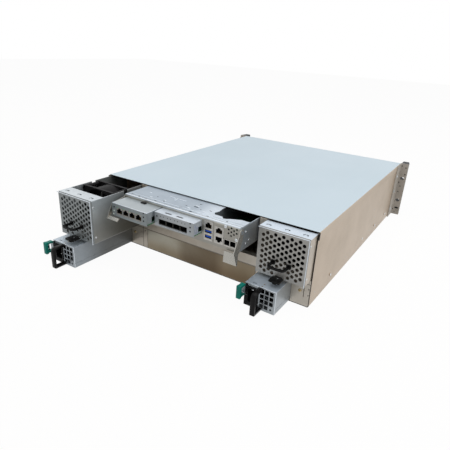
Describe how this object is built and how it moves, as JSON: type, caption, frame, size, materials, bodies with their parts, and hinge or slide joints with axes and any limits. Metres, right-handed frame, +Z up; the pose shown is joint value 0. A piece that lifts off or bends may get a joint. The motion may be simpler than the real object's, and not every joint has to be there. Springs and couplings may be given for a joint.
{
  "type": "rack storage server",
  "caption": "Rack storage server chassis with pull-out fan modules, power supplies, a controller canister with port cards, and front drive trays.",
  "frame": {"origin": "middle of the underside, halfway between the chassis's two sides and its front and rear edges, on the plane it rests on", "axes": "+Z up, +Y from the rear towards the drive side with the rack ears, +X to the right of somebody who looks at the rear"},
  "size_m": [0.4826, 0.732, 0.132],
  "materials": {
    "galvanised_sheet": "dull galvanised sheet",
    "cover_sheet": "satin sheet under a pale blue film",
    "blank_sheet": "dull galvanised sheet",
    "cage_sheet": "satin zinc-plated sheet",
    "fan_face_sheet": "satin zinc-plated sheet",
    "fan_case_sheet": "satin zinc-plated sheet",
    "fan_plastic": "moulded black",
    "handle_plastic": "satin black",
    "inlet_plastic": "moulded black",
    "psu_sheet": "satin plated case",
    "latch_plastic": "satin teal",
    "canister_sheet": "galvanised sheet",
    "canister_cover_sheet": "satin galvanised sheet",
    "lever_sheet": "bright zinc-plated sheet",
    "card_sheet": "bright plated sheet",
    "circuit_board": "green solder mask",
    "backplane_board": "green solder mask",
    "connector_shell": "bright tinned shells",
    "ear_sheet": "grey powder coat",
    "cap_plastic": "moulded dark grey",
    "button_plastic": "satin light grey",
    "drive_tray_metal": "satin"
  },
  "bodies": {
    "chassis": {"chassis_tray": "galvanised_sheet", "top_cover": "cover_sheet", "rear_panel": "galvanised_sheet", "bay_frame": "galvanised_sheet", "lower_blank": "blank_sheet", "drive_cage": "cage_sheet", "drive_backplane": "backplane_board", "rack_ears": "ear_sheet", "ear_caps": "cap_plastic"},
    "fan_left": {"fan_left_grille": "fan_face_sheet", "fan_left_cage": "fan_case_sheet", "fan_left_housing": "fan_plastic", "fan_left_handle": "handle_plastic"},
    "psu_left": {"psu_left_case": "psu_sheet", "psu_left_inlet": "inlet_plastic", "psu_left_handle": "handle_plastic"},
    "fan_left_latch": {"fan_left_latch": "handle_plastic"},
    "fan_left_rotor": {"fan_left_rotor": "fan_plastic"},
    "psu_left_latch": {"psu_left_latch": "latch_plastic"},
    "psu_left_rotor": {"psu_left_rotor": "fan_plastic"},
    "fan_right": {"fan_right_grille": "fan_face_sheet", "fan_right_cage": "fan_case_sheet", "fan_right_housing": "fan_plastic", "fan_right_handle": "handle_plastic"},
    "psu_right": {"psu_right_case": "psu_sheet", "psu_right_inlet": "inlet_plastic", "psu_right_handle": "handle_plastic"},
    "fan_right_latch": {"fan_right_latch": "handle_plastic"},
    "fan_right_rotor": {"fan_right_rotor": "fan_plastic"},
    "psu_right_latch": {"psu_right_latch": "latch_plastic"},
    "psu_right_rotor": {"psu_right_rotor": "fan_plastic"},
    "canister": {"canister_tray": "canister_sheet", "canister_cover": "canister_cover_sheet", "canister_board": "circuit_board", "canister_ports": "connector_shell"},
    "lever_left": {"lever_left": "lever_sheet"},
    "card_left": {"card_left_case": "card_sheet", "card_left_board": "circuit_board", "card_left_sockets": "connector_shell"},
    "lever_right": {"lever_right": "lever_sheet"},
    "card_right": {"card_right_case": "card_sheet", "card_right_board": "circuit_board", "card_right_sockets": "connector_shell"},
    "power_button": {"power_button": "button_plastic"},
    "drive_tray_1": {"drive_tray_1": "drive_tray_metal"},
    "drive_tray_2": {"drive_tray_2": "drive_tray_metal"},
    "drive_tray_3": {"drive_tray_3": "drive_tray_metal"},
    "drive_tray_4": {"drive_tray_4": "drive_tray_metal"},
    "drive_tray_5": {"drive_tray_5": "drive_tray_metal"},
    "drive_tray_6": {"drive_tray_6": "drive_tray_metal"},
    "drive_tray_7": {"drive_tray_7": "drive_tray_metal"},
    "drive_tray_8": {"drive_tray_8": "drive_tray_metal"},
    "drive_tray_9": {"drive_tray_9": "drive_tray_metal"},
    "drive_tray_10": {"drive_tray_10": "drive_tray_metal"},
    "drive_tray_11": {"drive_tray_11": "drive_tray_metal"},
    "drive_tray_12": {"drive_tray_12": "drive_tray_metal"},
    "drive_tray_13": {"drive_tray_13": "drive_tray_metal"},
    "drive_tray_14": {"drive_tray_14": "drive_tray_metal"},
    "drive_tray_15": {"drive_tray_15": "drive_tray_metal"},
    "drive_tray_16": {"drive_tray_16": "drive_tray_metal"}
  },
  "joints": [
    {"name": "fan_left_slide", "type": "slide", "parent": "chassis", "child": "fan_left", "axis": [0, -1, 0], "range_m": [-0.1205, 0.05]},
    {"name": "fan_left_latch_hinge", "type": "hinge", "parent": "fan_left", "child": "fan_left_latch", "pos_m": [-0.1772, -0.3934, 0.052], "axis": [-1, 0, 0], "range_deg": [0, 14], "stiffness_Nm_per_rad": 0.05},
    {"name": "fan_left_spin", "type": "hinge", "parent": "fan_left", "child": "fan_left_rotor", "pos_m": [-0.1772, -0.3205, 0.089], "axis": [0, 1, 0], "continuous": true},
    {"name": "psu_left_slide", "type": "slide", "parent": "chassis", "child": "psu_left", "axis": [0, -1, 0], "range_m": [-0.143, 0.185]},
    {"name": "psu_left_latch_hinge", "type": "hinge", "parent": "psu_left", "child": "psu_left_latch", "pos_m": [-0.21605, -0.386, 0.0308], "axis": [0, 0, 1], "range_deg": [0, 6.5], "stiffness_Nm_per_rad": 0.1},
    {"name": "psu_left_spin", "type": "hinge", "parent": "psu_left", "child": "psu_left_rotor", "pos_m": [-0.1852, -0.369, 0.02255], "axis": [0, 1, 0], "continuous": true},
    {"name": "fan_right_slide", "type": "slide", "parent": "chassis", "child": "fan_right", "axis": [0, -1, 0], "range_m": [-0.0251, 0.145]},
    {"name": "fan_right_latch_hinge", "type": "hinge", "parent": "fan_right", "child": "fan_right_latch", "pos_m": [0.1772, -0.298, 0.052], "axis": [-1, 0, 0], "range_deg": [0, 14], "stiffness_Nm_per_rad": 0.05},
    {"name": "fan_right_spin", "type": "hinge", "parent": "fan_right", "child": "fan_right_rotor", "pos_m": [0.1772, -0.2251, 0.089], "axis": [0, 1, 0], "continuous": true},
    {"name": "psu_right_slide", "type": "slide", "parent": "chassis", "child": "psu_right", "axis": [0, -1, 0], "range_m": [-0.0555, 0.27]},
    {"name": "psu_right_latch_hinge", "type": "hinge", "parent": "psu_right", "child": "psu_right_latch", "pos_m": [0.13605, -0.2985, 0.0308], "axis": [0, 0, 1], "range_deg": [0, 6.5], "stiffness_Nm_per_rad": 0.1},
    {"name": "psu_right_spin", "type": "hinge", "parent": "psu_right", "child": "psu_right_rotor", "pos_m": [0.1669, -0.2815, 0.02255], "axis": [0, 1, 0], "continuous": true},
    {"name": "canister_slide", "type": "slide", "parent": "chassis", "child": "canister", "axis": [0, -1, 0], "range_m": [-0.0573, 0.27]},
    {"name": "lever_left_pivot", "type": "hinge", "parent": "canister", "child": "lever_left", "pos_m": [-0.11985, -0.3243, 0.1216], "axis": [-1, 0, 0], "range_deg": [-56, 0]},
    {"name": "card_left_slide", "type": "slide", "parent": "canister", "child": "card_left", "axis": [0, -1, 0], "range_m": [-0.0358, 0.135]},
    {"name": "lever_right_pivot", "type": "hinge", "parent": "canister", "child": "lever_right", "pos_m": [0.11985, -0.3243, 0.1216], "axis": [-1, 0, 0], "range_deg": [-5, 51]},
    {"name": "card_right_slide", "type": "slide", "parent": "canister", "child": "card_right", "axis": [0, -1, 0], "range_m": [-0.0206, 0.15]},
    {"name": "power_button_press", "type": "slide", "parent": "chassis", "child": "power_button", "axis": [0, -1, 0], "range_m": [0, 0.0018], "stiffness_N_per_m": 300},
    {"name": "drive_tray_1_slide", "type": "slide", "parent": "chassis", "child": "drive_tray_1", "axis": [0, 1, 0], "range_m": [0, 0.19]},
    {"name": "drive_tray_2_slide", "type": "slide", "parent": "chassis", "child": "drive_tray_2", "axis": [0, 1, 0], "range_m": [0, 0.19]},
    {"name": "drive_tray_3_slide", "type": "slide", "parent": "chassis", "child": "drive_tray_3", "axis": [0, 1, 0], "range_m": [0, 0.19]},
    {"name": "drive_tray_4_slide", "type": "slide", "parent": "chassis", "child": "drive_tray_4", "axis": [0, 1, 0], "range_m": [0, 0.19]},
    {"name": "drive_tray_5_slide", "type": "slide", "parent": "chassis", "child": "drive_tray_5", "axis": [0, 1, 0], "range_m": [0, 0.19]},
    {"name": "drive_tray_6_slide", "type": "slide", "parent": "chassis", "child": "drive_tray_6", "axis": [0, 1, 0], "range_m": [0, 0.19]},
    {"name": "drive_tray_7_slide", "type": "slide", "parent": "chassis", "child": "drive_tray_7", "axis": [0, 1, 0], "range_m": [0, 0.19]},
    {"name": "drive_tray_8_slide", "type": "slide", "parent": "chassis", "child": "drive_tray_8", "axis": [0, 1, 0], "range_m": [0, 0.19]},
    {"name": "drive_tray_9_slide", "type": "slide", "parent": "chassis", "child": "drive_tray_9", "axis": [0, 1, 0], "range_m": [0, 0.19]},
    {"name": "drive_tray_10_slide", "type": "slide", "parent": "chassis", "child": "drive_tray_10", "axis": [0, 1, 0], "range_m": [0, 0.19]},
    {"name": "drive_tray_11_slide", "type": "slide", "parent": "chassis", "child": "drive_tray_11", "axis": [0, 1, 0], "range_m": [0, 0.19]},
    {"name": "drive_tray_12_slide", "type": "slide", "parent": "chassis", "child": "drive_tray_12", "axis": [0, 1, 0], "range_m": [0, 0.19]},
    {"name": "drive_tray_13_slide", "type": "slide", "parent": "chassis", "child": "drive_tray_13", "axis": [0, 1, 0], "range_m": [0, 0.19]},
    {"name": "drive_tray_14_slide", "type": "slide", "parent": "chassis", "child": "drive_tray_14", "axis": [0, 1, 0], "range_m": [0, 0.19]},
    {"name": "drive_tray_15_slide", "type": "slide", "parent": "chassis", "child": "drive_tray_15", "axis": [0, 1, 0], "range_m": [0, 0.19]},
    {"name": "drive_tray_16_slide", "type": "slide", "parent": "chassis", "child": "drive_tray_16", "axis": [0, 1, 0], "range_m": [0, 0.19]}
  ]
}
